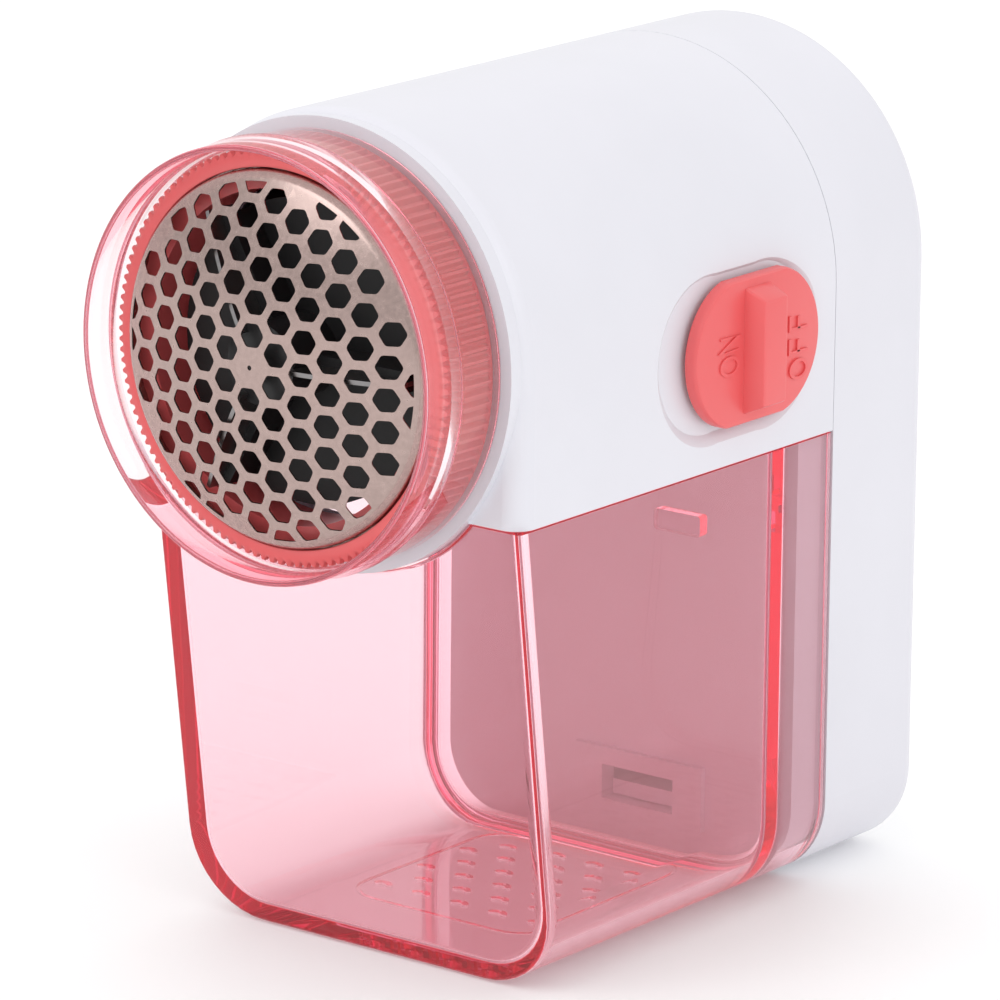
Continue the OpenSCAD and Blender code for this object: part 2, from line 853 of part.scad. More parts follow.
module base_screws() {
  color("silver") in_place() for (p = post_spots)
    translate([base_x[0] - eps, slider_y + p.x, slider_z + p.y]) rotate([0, 0, 90])
      screw(0.78, 4.5, 1.5, 0.8);
}

// ---------- Leads ----------

module red_leads() {
  color("red") in_place() for (route = [red_supply, red_motor]) wire(route, lead_r);
}

module black_lead() {
  color("black") in_place() wire(black_return, lead_r);
}

main_housing();
rear_cover();
lint_bin();
guard_ring();
foil_nut();
foil();
foil_frame();
cutter_hub();
cutter_blades();
cutter_spring();
motor_shaft();
armature_core();
armature_windings();
commutator();
motor_can();
motor_magnets();
motor_end_cap();
motor_terminals();
shaft_bush();
shaft_seal();
motor_bracket();
bracket_screws();
chamber_liner();
battery_tray();
tray_screws();
battery_left();
battery_right();
battery_springs();
bridge_contact();
top_contacts();
switch_slider();
slider_retainer();
slider_screw();
switch_wiper();
switch_base();
switch_terminals();
base_screws();
red_leads();
black_lead();
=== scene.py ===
"""Looks of the fabric shaver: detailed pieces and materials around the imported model."""
import json
import math

import bmesh
import bpy
from mathutils import Matrix, Vector
from mathutils.geometry import delaunay_2d_cdt, interpolate_bezier


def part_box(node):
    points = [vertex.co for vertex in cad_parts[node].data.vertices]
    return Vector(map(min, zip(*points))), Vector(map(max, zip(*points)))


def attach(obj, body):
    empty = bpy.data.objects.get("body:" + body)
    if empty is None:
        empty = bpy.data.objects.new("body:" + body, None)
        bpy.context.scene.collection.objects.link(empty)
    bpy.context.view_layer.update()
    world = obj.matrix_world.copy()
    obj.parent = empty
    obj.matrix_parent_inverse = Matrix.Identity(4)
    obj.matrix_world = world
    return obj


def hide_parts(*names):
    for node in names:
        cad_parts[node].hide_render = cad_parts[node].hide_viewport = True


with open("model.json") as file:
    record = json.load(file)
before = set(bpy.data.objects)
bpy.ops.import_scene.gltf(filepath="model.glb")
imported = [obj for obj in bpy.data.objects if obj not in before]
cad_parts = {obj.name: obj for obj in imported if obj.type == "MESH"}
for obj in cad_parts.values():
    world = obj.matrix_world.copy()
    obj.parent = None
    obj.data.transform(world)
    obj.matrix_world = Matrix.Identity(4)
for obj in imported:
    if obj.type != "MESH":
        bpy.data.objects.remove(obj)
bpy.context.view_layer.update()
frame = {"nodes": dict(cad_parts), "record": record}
MM = 0.001


# ---------- Material helpers ----------

class Nodes:
    """A material's node tree, with short calls for the nodes used here."""

    def __init__(self, name):
        self.material = bpy.data.materials.new(name)
        self.material.use_nodes = True
        self.tree = self.material.node_tree
        self.shader = self.tree.nodes["Principled BSDF"]
        self.output = self.tree.nodes["Material Output"]

    def add(self, kind, **inputs):
        """A new node with values for its inputs, spaces in their names written as _."""
        node = self.tree.nodes.new(kind)
        for key, value in inputs.items():
            node.inputs[key.replace("_", " ")].default_value = value
        return node

    def link(self, source, target):
        self.tree.links.new(source, target)

    def place(self):
        """The point on the object, in metres, as a socket."""
        return self.add("ShaderNodeTexCoord").outputs["Object"]

    def noise(self, scale, detail=4.0):
        """Noise from 0 to 1; scale is in features per metre."""
        node = self.add("ShaderNodeTexNoise", Scale=scale, Detail=detail)
        self.link(self.place(), node.inputs["Vector"])
        return node.outputs["Fac"]

    def ramp(self, source, stops):
        """A colour ramp over a value: stops is a list of (position, colour)."""
        node = self.add("ShaderNodeValToRGB")
        elements = node.color_ramp.elements
        while len(elements) < len(stops):
            elements.new(0.5)
        for element, (position, colour) in zip(elements, stops):
            element.position = position
            element.color = (*colour, 1)
        self.link(source, node.inputs["Fac"])
        return node.outputs["Color"]

    def spread(self, source, low, high):
        """A value from 0 to 1 mapped to low..high."""
        node = self.add("ShaderNodeMapRange")
        node.inputs["To Min"].default_value = low
        node.inputs["To Max"].default_value = high
        self.link(source, node.inputs["Value"])
        return node.outputs["Result"]

    def bump(self, source, height, strength):
        """Surface relief, height in metres."""
        node = self.add("ShaderNodeBump", Strength=strength, Distance=height)
        self.link(source, node.inputs["Height"])
        self.link(node.outputs["Normal"], self.shader.inputs["Normal"])

    def set(self, **inputs):
        """Sets values on the shader's own inputs."""
        for key, value in inputs.items():
            self.shader.inputs[key.replace("_", " ")].default_value = value


def shades(colour, spread):
    """A darker and a lighter version of a colour."""
    return [tuple(min(1, c * (1 + s)) for c in colour) for s in (-spread, spread)]


def moulded_plastic(name, colour, rough, texture_mm=0.35, relief_mm=0.004, spread=0.02, **extra):
    """Injection-moulded plastic: faint tone drift, fine surface texture, uneven gloss."""
    m = Nodes(name)
    dark, light = shades(colour, spread)
    m.link(m.ramp(m.noise(40), [(0.3, dark), (0.7, light)]), m.shader.inputs["Base Color"])
    grain = m.noise(1 / (texture_mm * MM), 3)
    m.link(m.spread(grain, rough * 0.85, rough * 1.15), m.shader.inputs["Roughness"])
    m.bump(grain, relief_mm * MM, 0.5)
    m.set(**extra)
    return m.material


def worked_metal(name, colour, rough, stretch=(1, 1, 1)):
    """Metal with fine marks from working, stretched along one direction."""
    grain_mm, relief_mm, spread = 0.6, 0.004, 0.08
    m = Nodes(name)
    mapping = m.add("ShaderNodeMapping")
    mapping.inputs["Scale"].default_value = stretch
    m.link(m.place(), mapping.inputs["Vector"])
    marks = m.add("ShaderNodeTexNoise", Scale=1 / (grain_mm * MM), Detail=5)
    m.link(mapping.outputs["Vector"], marks.inputs["Vector"])
    dark, light = shades(colour, spread)
    m.link(m.ramp(marks.outputs["Fac"], [(0.3, dark), (0.7, light)]), m.shader.inputs["Base Color"])
    m.link(m.spread(marks.outputs["Fac"], rough * 0.7, rough * 1.3), m.shader.inputs["Roughness"])
    m.bump(marks.outputs["Fac"], relief_mm * MM, 0.6)
    m.set(Metallic=1.0)
    return m.material


def clear_plastic(name, absorb_colour, density, painted_glow_colour, painted_glow_strength):
    """Clear dyed plastic: its colour deepens with the length of the light's way through it.

    Every skin of it also emits a faint painted glow, light that no lamp gives, which brightens what
    is seen through it.
    """
    m = Nodes(name)
    m.set(Base_Color=(1, 1, 1, 1), Transmission_Weight=1.0, Roughness=0.0, IOR=1.5)
    flow_mm = 0.03
    m.bump(m.noise(60, 2), flow_mm * MM, 0.25)
    # Painted light: a faint emission on every skin of the clear plastic, though it is no lamp
    m.set(Emission_Color=(*painted_glow_colour, 1), Emission_Strength=painted_glow_strength)
    m.material.cycles.emission_sampling = "NONE"
    tint = m.add("ShaderNodeVolumeAbsorption", Color=(*absorb_colour, 1), Density=density)
    m.link(tint.outputs["Volume"], m.output.inputs["Volume"])
    return m.material


WHITE_ABS = moulded_plastic("white_abs", (0.735, 0.73, 0.785), 0.32)
CORAL = moulded_plastic("coral_plastic", (0.80, 0.125, 0.13), 0.36, Subsurface_Weight=0.15,
                        Subsurface_Radius=(0.003, 0.001, 0.001))
BLACK = moulded_plastic("black_plastic", (0.012, 0.011, 0.012), 0.45)
PHENOLIC = moulded_plastic("phenolic", (0.30, 0.16, 0.07), 0.55, spread=0.12)
RED_VINYL = moulded_plastic("red_vinyl", (0.60, 0.02, 0.02), 0.4)
BLACK_VINYL = moulded_plastic("black_vinyl", (0.02, 0.02, 0.02), 0.4)
JACKET = moulded_plastic("cell_jacket", (0.03, 0.22, 0.13), 0.25)
FERRITE = moulded_plastic("ferrite", (0.05, 0.05, 0.055), 0.7, spread=0.15)
FELT = moulded_plastic("felt", (0.28, 0.27, 0.26), 0.95, texture_mm=0.15, relief_mm=0.08, spread=0.2)
STEEL = worked_metal("plated_steel", (0.62, 0.62, 0.64), 0.28)
BLADE = worked_metal("blade_steel", (0.26, 0.25, 0.25), 0.34, stretch=(1, 6, 1))
CORE = worked_metal("core_steel", (0.25, 0.25, 0.27), 0.45, stretch=(0.1, 8, 0.1))
COPPER = worked_metal("copper_wire", (0.60, 0.22, 0.10), 0.3, stretch=(1, 6, 1))
BRONZE = worked_metal("bronze", (0.50, 0.32, 0.14), 0.4)
BRASS = worked_metal("brass", (0.74, 0.55, 0.22), 0.25)
FOIL_STEEL = worked_metal("foil_steel", (0.42, 0.315, 0.29), 0.25)
# The last two values of each clear plastic are the colour and strength of its painted glow
CLEAR_PINK = clear_plastic("clear_pink", (0.86, 0.13, 0.37), 100, (1, 0.12, 0.14), 0.037)
CLEAR_GUARD = clear_plastic("clear_guard", (0.86, 0.13, 0.30), 90, (1, 0.35, 0.35), 0.03)

SLOT_MATERIALS = {
    "white_abs": WHITE_ABS, "clear_pink": CLEAR_PINK, "coral_plastic": CORAL,
    "foil_steel": FOIL_STEEL, "black_plastic": BLACK, "blade_steel": BLADE,
    "spring_steel": STEEL, "core_steel": CORE, "copper_wire": COPPER, "bronze": BRONZE,
    "plated_steel": STEEL, "ferrite": FERRITE, "brass": BRASS, "felt": FELT,
    "cell_jacket": JACKET, "phenolic": PHENOLIC, "red_insulation": RED_VINYL,
    "black_insulation": BLACK_VINYL,
}


def dress_nodes():
    """Gives every CAD node the material of its slot in the record."""
    for row in frame["record"]["subparts"]:
        node = frame["nodes"][row["node"]]
        material = SLOT_MATERIALS[row["material_slot"]]
        if not node.material_slots:
            node.data.materials.append(material)
        for slot in node.material_slots:
            slot.material = material


# ---------- Mesh helpers: all lengths in millimetres ----------

def box_mm(node):
    """A node's lowest and highest corners at rest."""
    low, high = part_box(node)
    return Vector(low) / MM, Vector(high) / MM


# The origin is midway between the casing's front wall and the rear cover's back
FRONT = -box_mm("rear_cover")[1].y
RING_LOW, RING_HIGH = box_mm("guard_ring")
AXIS_Z = (RING_LOW.z + RING_HIGH.z) / 2


def rounded(corners, steps=4):
    """A closed outline with round corners, from a list of (u, v, radius)."""
    outline = []
    for i, (u, v, radius) in enumerate(corners):
        here = Vector((u, v))
        if radius == 0:
            outline.append(here)
            continue
        before = (Vector(corners[i - 1][:2]) - here).normalized()
        after = (Vector(corners[(i + 1) % len(corners)][:2]) - here).normalized()
        half = before.angle(after) / 2
        start = here + before * radius / math.tan(half)
        end = here + after * radius / math.tan(half)
        centre = here + (before + after).normalized() * radius / math.sin(half)
        for s in range(steps + 1):
            outline.append(centre + (start - centre).slerp(end - centre, s / steps) * radius)
    return outline


def bridge(bm, loop_a, loop_b, closed=True):
    """Quads between two loops of the same number of vertices."""
    count = len(loop_a)
    for i in range(count if closed else count - 1):
        k = (i + 1) % count
        bm.faces.new((loop_a[i], loop_a[k], loop_b[k], loop_b[i]))


def loft(bm, layers):
    """A closed solid through layers of points with equal counts."""
    loops = [[bm.verts.new(point) for point in layer] for layer in layers]
    for below, above in zip(loops, loops[1:]):
        bridge(bm, below, above)
    bm.faces.new(loops[0][::-1])
    bm.faces.new(loops[-1])


def lathe(bm, outline, steps, lift=None):
    """Turns a closed outline of (radius, y) about the head's axis; lift adds to the radius."""
    rings = []
    for i in range(steps):
        angle = math.tau * i / steps
        ring = []
        for k, (radius, y) in enumerate(outline):
            r = radius + (lift(k, angle) if lift else 0)
            ring.append(bm.verts.new((r * math.cos(angle), FRONT + y, AXIS_Z + r * math.sin(angle))))
        rings.append(ring)
    for i in range(steps):
        bridge(bm, rings[i], rings[(i + 1) % steps])


def make_mesh(name, bm):
    """Turns mesh code in millimetres into a mesh in metres."""
    bmesh.ops.scale(bm, vec=(MM, MM, MM), verts=bm.verts)
    bmesh.ops.recalc_face_normals(bm, faces=bm.faces)
    mesh = bpy.data.meshes.new(name)
    bm.to_mesh(mesh)
    bm.free()
    return mesh


def add_object(name, data):
    """Puts an object with this mesh, camera or light in the scene."""
    made = bpy.data.objects.new(name, data)
    bpy.context.scene.collection.objects.link(made)
    return made


def make_piece(name, bm, material, node, body, angle=35):
    """Turns mesh code in millimetres into a piece that stands for a CAD node."""
    mesh = make_mesh(name, bm)
    mesh.materials.append(material)
    mesh.shade_smooth()
    mesh.set_sharp_from_angle(angle=math.radians(angle))
    piece = add_object(name, mesh)
    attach(piece, body)
    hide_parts(node)
    return piece


# ---------- Shaving head ----------

ROUND_STEPS = 192
NUT_RIBS = 120
STEPS_PER_RIB = 8
HOLE_TURN = math.radians(3)


def make_guard():
    """The clear guard: a thin front wall with a round lip, and a sleeve behind a small step."""
    outer = (RING_HIGH.x - RING_LOW.x) / 2
    front, back = RING_LOW.y - FRONT + 0.6, RING_HIGH.y - FRONT
    step = front + 5.6
    lip = outer - 0.4
    mouth = lip - 0.7
    sleeve, bore = outer - 0.5, outer - 1.3
    outline = rounded([(mouth, front, 0.3), (lip, front, 0.33), (lip + 0.03, step - 1.6, 1),
                       (outer, step, 0.2), (sleeve, step + 0.35, 0.15), (sleeve, back, 0.25),
                       (bore, back, 0.15), (bore, step + 1.0, 0.1), (mouth, step + 0.5, 0.1)])
    bm = bmesh.new()
    lathe(bm, outline, ROUND_STEPS)
    make_piece("guard_shell", bm, CLEAR_GUARD, "guard_ring", "guard")


def make_nut():
    """The coral nut: turned-in front lip, toothed flange and a band of ribs."""
    low, high = box_mm("foil_nut")
    tooth = (high.x - low.x) / 2
    front, back = low.y - FRONT, high.y - FRONT
    body = tooth - 0.7
    bore = tooth - 1.85
    lip = bore - 0.2
    outline, weights = [], []

    def run(points, weight):
        """Adds (radius, y) points; weight says how much of the teeth's height they take."""
        outline.extend(points)
        weights.extend([weight] * len(points))

    run([(bore, back), (body - 0.2, back), (body, back - 0.2), (body, back - 0.9)], 0)
    run([(body, back - 1.1), (body, back - 2.6), (body, back - 4.2), (body, back - 5.6)], 1)
    run([(body, back - 5.8), (body, front + 1.4)], 0)
    run([(body + 0.2, front + 1.0), (body + 0.2, front + 0.55), (body + 0.1, front + 0.3)], 0.7)
    run([(body - 0.05, front + 0.15), (body - 0.35, front + 0.05), (lip + 0.25, front),
         (lip + 0.07, front + 0.04), (lip, front + 0.15), (lip, front + 0.6), (bore, front + 0.6)], 0)

    def lift(k, angle):
        if not weights[k]:
            return 0
        wave = 0.5 + 0.72 * math.cos(NUT_RIBS * angle)
        return (tooth - body) * weights[k] * min(1, max(0, wave))

    bm = bmesh.new()
    lathe(bm, outline, NUT_RIBS * STEPS_PER_RIB, lift)
    make_piece("nut_body", bm, CORAL, "foil_nut", "nut")


def foil_hole(centre, size, field):
    """A rounded hexagonal hole, cut off where it reaches past the perforated field."""
    corners = []
    for i in range(6):
        angle = HOLE_TURN + i * math.pi / 3
        corners.append((centre.x + size.x * math.cos(angle), centre.y + size.y * math.sin(angle),
                        size.y * 0.32))
    outline = rounded(corners, 2)
    return [p * min(1, field / p.length) for p in outline]


def outline_area(loop):
    """Signed area inside a closed loop."""
    return sum(loop[k - 1].cross(loop[k]) for k in range(len(loop))) / 2


def circle_2d(radius, count):
    return [Vector((radius * math.cos(math.tau * k / count), radius * math.sin(math.tau * k / count)))
            for k in range(count)]


def make_foil():
    """The domed steel foil: a pressed sheet with a lattice of rounded hexagonal holes."""
    low, high = box_mm("foil")
    front, back = low.y - FRONT, high.y - FRONT
    rim = (high.x - low.x) / 2
    edge, thick = rim - 0.12, 0.18
    field, dome = 19.8, 56.6
    across, along = Vector((3.39, 0.08)), Vector((0.25, 3.6))
    hole_size, smallest_hole = Vector((1.64, 1.5)), 0.8

    def dome_height(r):
        return front + dome - math.sqrt(dome ** 2 - r ** 2)

    shoulder = Vector((field + 0.15, dome_height(field + 0.15)))
    lean = shoulder.x / dome
    foot = Vector((edge - 0.06, shoulder.y + 1.3))
    curve = interpolate_bezier(shoulder, shoulder + Vector((math.cos(lean), math.sin(lean))) * 0.6,
                               foot - Vector((0.04, 0.6)), foot, 40)

    def height(r):
        """Position along the axis of the sheet's outer side at radius r."""
        if r <= shoulder.x:
            return dome_height(r)
        if r >= edge:
            return back - thick
        for a, b in zip(curve, curve[1:]):
            if r <= b.x:
                return a.y + (b.y - a.y) * (r - a.x) / (b.x - a.x)
        skirt_end = back - thick - 0.35
        return skirt_end

    points, links, holes = [], [], []

    def add_loop(loop):
        start = len(points)
        points.extend(loop)
        links.extend((start + i, start + (i + 1) % len(loop)) for i in range(len(loop)))

    # The middle of the lattice stays closed, and slivers at the field's edge are left out
    for i in range(-6, 7):
        for j in range(-6, 7):
            spot = across * i + along * (j + (i % 2) / 2)
            if 1 < spot.length < field + 1.2:
                loop = foil_hole(spot, hole_size, field)
                if outline_area(loop) > smallest_hole:
                    add_loop(loop)
                    holes.append(loop)
    middle_mark = circle_2d(0.28, 12)
    add_loop(middle_mark)
    holes.append(middle_mark)
    for radius in (field + 0.15, field + 0.35, edge - 0.6, edge - 0.4, edge - 0.25, edge - 0.14,
                   edge - 0.09, edge - 0.04, edge, rim):
        add_loop(circle_2d(radius, 144))
    verts, _, faces, _, _, _ = delaunay_2d_cdt(points, links, [], 0, 1e-5, False)

    centres = [sum(loop, Vector((0, 0))) / len(loop) for loop in holes]

    def in_hole(p):
        k = min(range(len(holes)), key=lambda n: (centres[n] - p).length_squared)
        loop = holes[k]
        return all((loop[n] - loop[n - 1]).cross(p - loop[n - 1]) > -1e-6 for n in range(len(loop)))

    bm = bmesh.new()
    sheet = [bm.verts.new((v.x, FRONT + height(v.length), AXIS_Z + v.y)) for v in verts]
    for face in faces:
        middle = sum((verts[n] for n in face), Vector((0, 0))) / len(face)
        if not in_hole(middle):
            bm.faces.new([sheet[n] for n in face])
    bmesh.ops.recalc_face_normals(bm, faces=bm.faces)
    if max(bm.faces, key=lambda f: f.calc_area()).normal.y > 0:
        bmesh.ops.reverse_faces(bm, faces=bm.faces)
    bmesh.ops.solidify(bm, geom=bm.faces, thickness=thick)
    make_piece("foil_sheet", bm, FOIL_STEEL, "foil", "foil_cap", 30)


# ---------- Switch button ----------

def stroke_mark(bm, path, width, place, closed=False):
    """A raised stroke with a flat top along a path; place maps (u, v, height) to the button."""
    count = len(path)
    left, right = [], []
    for k in range(count):
        before = path[k - 1] if k or closed else path[k]
        after = path[(k + 1) % count] if k < count - 1 or closed else path[k]
        along = (after - before).normalized()
        side = Vector((-along.y, along.x)) * width / 2
        if 0 < k < count - 1 or closed:
            turn = (path[(k + 1) % count] - path[k]).normalized()
            side /= max(0.5, abs(turn.dot(along)))
        left.append(path[k] + side)
        right.append(path[k] - side)
    loops = []
    for points, height in ((left, 0.0), (left, 1.0), (right, 1.0), (right, 0.0)):
        loops.append([bm.verts.new(place(p.x, p.y, height)) for p in points])
    for a, b in zip(loops, loops[1:] + loops[:1]):
        bridge(bm, a, b, closed)
    if not closed:
        bm.faces.new([loop[0] for loop in loops])
        bm.faces.new([loop[-1] for loop in reversed(loops)])


def make_button():
    """The coral slide button: round-ended plate, grip bar with sloped ends, raised switch marks."""
    low, high = box_mm("switch_slider")
    middle = (low + high) / 2
    face = high.x - 2.7
    flat = (high.z - low.z) / 2
    end = flat + 0.25
    shift = (high.y - low.y) / 2 - end

    def plate(inset, x):
        """The plate's outline at x: two round ends cut by two flats."""
        points = []
        reach = math.asin(flat / end)
        for centre, start in ((shift, -reach), (-shift, math.pi - reach)):
            for k in range(33):
                angle = start + 2 * reach * k / 32
                y = centre + (end - inset) * math.cos(angle)
                z = max(-flat + inset, min(flat - inset, (end - inset) * math.sin(angle)))
                points.append((x, middle.y + y, middle.z + z))
        return points

    bm = bmesh.new()
    loft(bm, [plate(0.1, face - 1.6), plate(0, face - 1.5), plate(0, face - 0.55),
              plate(0.06, face - 0.28), plate(0.22, face - 0.08), plate(0.5, face)])
    bar_y, bar_z = middle.y - 0.45, middle.z + 0.1
    half_y, foot, top = 2.35, 7.2, 6.05

    def bar(x, y_inset, half_z, corner):
        """The grip bar's outline at x."""
        y = half_y - y_inset
        outline = rounded([(-y, -half_z, corner), (y, -half_z, corner), (y, half_z, corner),
                           (-y, half_z, corner)], 3)
        return [(x, bar_y + p.x, bar_z + p.y) for p in outline]

    loft(bm, [bar(face - 0.4, -0.12, foot + 0.12, 0.3), bar(face + 0.12, 0, foot, 0.3),
              bar(high.x - 0.25, 0.12, top + 0.12, 0.3), bar(high.x - 0.06, 0.22, top - 0.05, 0.3),
              bar(high.x, 0.45, top - 0.3, 0.25)])

    def letter_place(y_top, z_start, tall, wide):
        """Maps a letter's unit square, read from the front of the button, to its place there."""
        return lambda u, v, h: (face - 0.05 + 0.27 * h, FRONT + y_top + tall * (1 - v),
                                z_start + wide * u)

    ring = [Vector((0.5 + 0.4 * math.cos(a), 0.5 + 0.44 * math.sin(a)))
            for a in (math.tau * k / 24 for k in range(24))]
    letter_f = ([(0.15, 0), (0.15, 1), (0.9, 1)], [(0.15, 0.52), (0.8, 0.52)])
    letter_n = ([(0.12, 0), (0.12, 1), (0.88, 0), (0.88, 1)],)
    # One row for each letter: its top in y, its start in z, height, width, and strokes or a ring
    marks = [(34.0, 65.3, 3.6, 2.5, None), (34.0, 68.0, 3.5, 2.1, letter_n),
             (47.3, 62.5, 3.5, 2.6, None), (47.3, 65.5, 3.4, 2.2, letter_f),
             (47.3, 68.2, 3.4, 2.2, letter_f)]
    for y_top, z_start, tall, wide, paths in marks:
        place = letter_place(y_top, z_start, tall, wide)
        if paths is None:
            stroke_mark(bm, ring, 0.13, place, closed=True)
        else:
            for path in paths:
                stroke_mark(bm, [Vector(p) for p in path], 0.14, place)
    make_piece("slide_button", bm, CORAL, "switch_slider", "slider", 30)


# ---------- Lint bin ----------

def tub_outline(half, radius, top, inset, steps=10):
    """The bin's U-shaped outline in x and z, from its top left round to its top right."""
    side, r = half - inset, radius - inset
    outline = [Vector((-side, top))]
    for turn, centre_x in ((math.pi, r - side), (1.5 * math.pi, side - r)):
        centre = Vector((centre_x, radius))
        for k in range(steps + 1):
            angle = turn + k * math.pi / 2 / steps
            outline.append(centre + Vector((r * math.cos(angle), r * math.sin(angle))))
    return outline + [Vector((side, top))]


def grip_marks():
    """Grooves under the bin's floor: a rounded border and staggered rows of thumb crescents."""
    bm = bmesh.new()
    half_x, y_low, y_high, corner = 14, 19, 49, 5
    groove, groove_depth, mark_depth = 0.5, 0.3, 0.9
    below = -1

    def border(inset):
        return rounded([(-half_x + inset, y_low + inset, corner - inset),
                        (half_x - inset, y_low + inset, corner - inset),
                        (half_x - inset, y_high - inset, corner - inset),
                        (-half_x + inset, y_high - inset, corner - inset)], 6)

    outer, inner = border(0), border(groove)
    loops = []
    for outline, z in ((outer, below), (outer, groove_depth), (inner, groove_depth), (inner, below)):
        loops.append([bm.verts.new((p.x, FRONT + p.y, z)) for p in outline])
    for a, b in zip(loops, loops[1:] + loops[:1]):
        bridge(bm, a, b)
    pitch_x, pitch_y = 5.6, 4
    for row in range(6):
        y = y_low + 4.5 + pitch_y * row
        for column in range(-3, 4):
            x = pitch_x * (column + (0.5 if row % 2 else 0))
            if abs(x) > half_x - 2.5:
                continue
            arc = [math.radians(a) for a in range(10, 171, 16)]
            outline = [(x + 1.35 * math.cos(a), y + 1.25 * math.sin(a)) for a in arc]
            outline += [(x + 0.75 * math.cos(a), y - 0.2 + 0.55 * math.sin(a)) for a in reversed(arc)]
            loft(bm, [[(px, FRONT + py, z) for px, py in outline] for z in (below, mark_depth)])
    return add_object("marks", make_mesh("marks", bm))


def bin_tabs(rear):
    """Two small stops on the back of the bin's rear wall."""
    bm = bmesh.new()
    apart, half_x, z_low, z_high, corner = 9.7, 3.3, 41.5, 44, 0.4
    for x in (-apart, apart):
        outline = rounded([(x - half_x, z_low, corner), (x + half_x, z_low, corner),
                           (x + half_x, z_high, corner), (x - half_x, z_high, corner)], 3)
        loft(bm, [[(p.x, FRONT + y, p.y) for p in outline] for y in (rear - 0.5, rear + 1.4)])
    return add_object("tabs", make_mesh("tabs", bm))


def make_bin():
    """The clear lint bin: leaning front with a round notch, rear wall, and open flange behind."""
    high = box_mm("lint_bin")[1]
    half, top, back = high.x, high.z, high.y - FRONT
    wall, radius = 1.7, 10.0
    rear = back - 7.9
    # The front leans back towards the base, from nothing at the bin's line with the casing
    lean, lean_top = 7.0, top + 0.2
    notch_r, steps = 25.6, 40
    start = math.asin((AXIS_Z - top) / notch_r)
    arc = []
    for k in range(steps + 1):
        angle = -start - (math.pi - 2 * start) * k / steps
        arc.append(Vector((notch_r * math.cos(angle), AXIS_Z + notch_r * math.sin(angle))))

    bm = bmesh.new()
    weight = bm.edges.layers.float.new("bevel_weight_edge")

    def upright(outline, y):
        """Vertices of an outline at y."""
        return [bm.verts.new((p.x, FRONT + y, p.y)) for p in outline]

    def leaning(outline, depth):
        """Vertices of an outline at a depth behind the leaning front."""
        return [bm.verts.new((p.x, FRONT + (lean_top - p.y) * lean / lean_top + depth, p.y))
                for p in outline]

    outer = tub_outline(half, radius, top, 0)
    inner = tub_outline(half, radius, top, wall)
    front_out = leaning(outer, 0)
    front_in = leaning(inner, wall)
    notch_out = leaning(arc, 0)
    notch_in = leaning(arc, wall)
    back_out = upright(outer, back)
    back_in = upright(inner, back)
    rear_back = upright(inner, rear)
    rear_front = upright(inner, rear - wall)
    bm.faces.new(front_out + notch_out)
    bm.faces.new(front_in + notch_in)
    bridge(bm, notch_out, notch_in, False)
    bridge(bm, front_out, back_out, False)
    bridge(bm, back_out, back_in, False)
    bridge(bm, back_in, rear_back, False)
    bridge(bm, rear_front, front_in, False)
    bm.faces.new(rear_back)
    bm.faces.new(rear_front)
    bm.faces.new((rear_front[0], rear_back[0], rear_back[-1], rear_front[-1]))
    for end, notch_end in ((-1, 0), (0, -1)):
        bm.faces.new((front_out[end], notch_out[notch_end], notch_in[notch_end], front_in[end]))
        bm.faces.new((front_out[end], front_in[end], rear_front[end], rear_back[end], back_in[end],
                      back_out[end]))

    for loop, amount in ((front_out, 0.2), (front_in, 0.45), (rear_front, 1.0), (rear_back, 0.5),
                         (back_out, 0.15), (back_in, 0.15), (notch_out, 0.15), (notch_in, 0.15)):
        for a, b in zip(loop, loop[1:]):
            bm.edges.get((a, b))[weight] = amount
    shell = make_piece("bin_shell", bm, CLEAR_PINK, "lint_bin", "bin", 40)
    bevel = shell.modifiers.new("rounding", "BEVEL")
    bevel.limit_method = "WEIGHT"
    bevel.width = 2.0 * MM
    bevel.segments = 4
    marks, tabs = grip_marks(), bin_tabs(rear)
    for tool, operation in ((marks, "DIFFERENCE"), (tabs, "UNION")):
        cut = shell.modifiers.new("cut", "BOOLEAN")
        cut.object = tool
        cut.operation = operation
        cut.solver = "EXACT"
    shell.data = bpy.data.meshes.new_from_object(
        shell.evaluated_get(bpy.context.evaluated_depsgraph_get()))
    shell.modifiers.clear()
    for tool in (marks, tabs):
        bpy.data.objects.remove(tool)
    shell.data.set_sharp_from_angle(angle=math.radians(40))
    normals = shell.modifiers.new("normals", "WEIGHTED_NORMAL")
    normals.keep_sharp = True


# ---------- Camera, floor and light ----------

def make_camera():
    """The photograph's viewing angle, from the front right and a little above."""
    azimuth, elevation, roll = (math.radians(a) for a in (37.77, 14.99, 0.46))
    target = Vector((0.04, -8.75, 47.72)) * MM
    distance = 733.4 * MM
    back = Vector((math.sin(azimuth) * math.cos(elevation),
                   -math.cos(azimuth) * math.cos(elevation), math.sin(elevation)))
    right = (-back).cross(Vector((0, 0, 1))).normalized()
    up = right.cross(-back)
    x_axis = right * math.cos(roll) + up * math.sin(roll)
    y_axis = up * math.cos(roll) - right * math.sin(roll)
    data = bpy.data.cameras.new("camera")
    data.sensor_width = 36
    data.lens = 232.45
    data.clip_start = 0.01
    camera = add_object("camera", data)
    camera.matrix_world = Matrix((x_axis, y_axis, back)).transposed().to_4x4()
    camera.location = target + back * distance
    bpy.context.scene.camera = camera


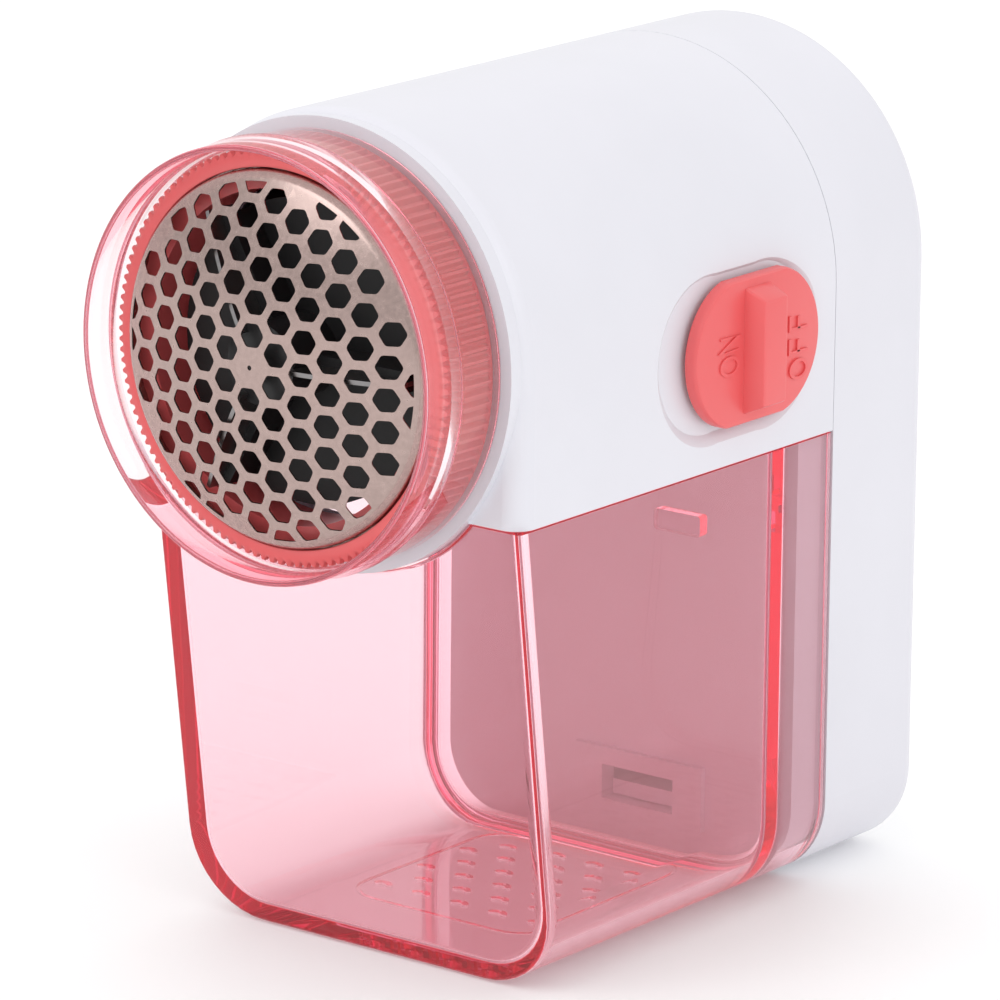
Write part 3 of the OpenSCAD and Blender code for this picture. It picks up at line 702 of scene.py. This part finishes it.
def make_floor():
    """A pale floor, just under the part so that their faces don't coincide."""
    half, level = 3.0, -0.3 * MM
    mesh = bpy.data.meshes.new("floor")
    mesh.from_pydata([(-half, -half, level), (half, -half, level), (half, half, level),
                      (-half, half, level)], [], [(0, 1, 2, 3)])
    m = Nodes("floor")
    m.set(Base_Color=(0.9, 0.9, 0.9, 1), Roughness=0.6, Emission_Color=(1, 1, 1, 1),
          Emission_Strength=0.12)
    mesh.materials.append(m.material)
    add_object("floor", mesh)


def area_light(name, place, aim, size, watts):
    """A square white light at a place, turned to its aim."""
    data = bpy.data.lights.new(name, "AREA")
    data.size = size
    data.energy = watts
    light = add_object(name, data)
    light.location = place
    light.rotation_mode = "QUATERNION"
    light.rotation_quaternion = (Vector(aim) - Vector(place)).to_track_quat("-Z", "Y")


def light_studio():
    """A white surround, brightest overhead and a little darker on the front side, and two boxes."""
    world = bpy.data.worlds.new("studio")
    world.use_nodes = True
    tree = world.node_tree
    background = tree.nodes["Background"]
    where = tree.nodes.new("ShaderNodeTexCoord")
    split = tree.nodes.new("ShaderNodeSeparateXYZ")
    tree.links.new(where.outputs["Generated"], split.inputs["Vector"])

    def band(source, from_low, from_high, to_low, to_high):
        """A smooth step from one value to another as the source rises."""
        node = tree.nodes.new("ShaderNodeMapRange")
        node.interpolation_type = "SMOOTHSTEP"
        node.inputs["From Min"].default_value = from_low
        node.inputs["From Max"].default_value = from_high
        node.inputs["To Min"].default_value = to_low
        node.inputs["To Max"].default_value = to_high
        tree.links.new(source, node.inputs["Value"])
        return node

    rising = band(split.outputs["Z"], 0.1, 0.6, 0, 1.06)
    behind = band(split.outputs["Y"], -0.75, 0.1, 0.8, 0.92)
    tree.links.new(behind.outputs["Result"], rising.inputs["To Min"])
    tree.links.new(rising.outputs["Result"], background.inputs["Strength"])
    background.inputs["Color"].default_value = (1, 1, 1, 1)
    bpy.context.scene.world = world
    middle = (0, 0, 0.05)
    area_light("front box", (-0.35, -1.0, 0.75), middle, 0.7, 3)
    area_light("side box", (1.1, -0.35, 0.6), middle, 0.7, 1.2)
    bpy.context.scene.view_settings.view_transform = "Standard"
    cycles = bpy.context.scene.cycles
    cycles.use_denoising = True
    # Light runs far along the clear walls by total reflection before it leaves them
    cycles.max_bounces = cycles.glossy_bounces = cycles.transmission_bounces = 96
    cycles.diffuse_bounces = 6


make_guard()
make_nut()
make_foil()
make_bin()
make_button()
make_camera()
make_floor()
light_studio()
dress_nodes()
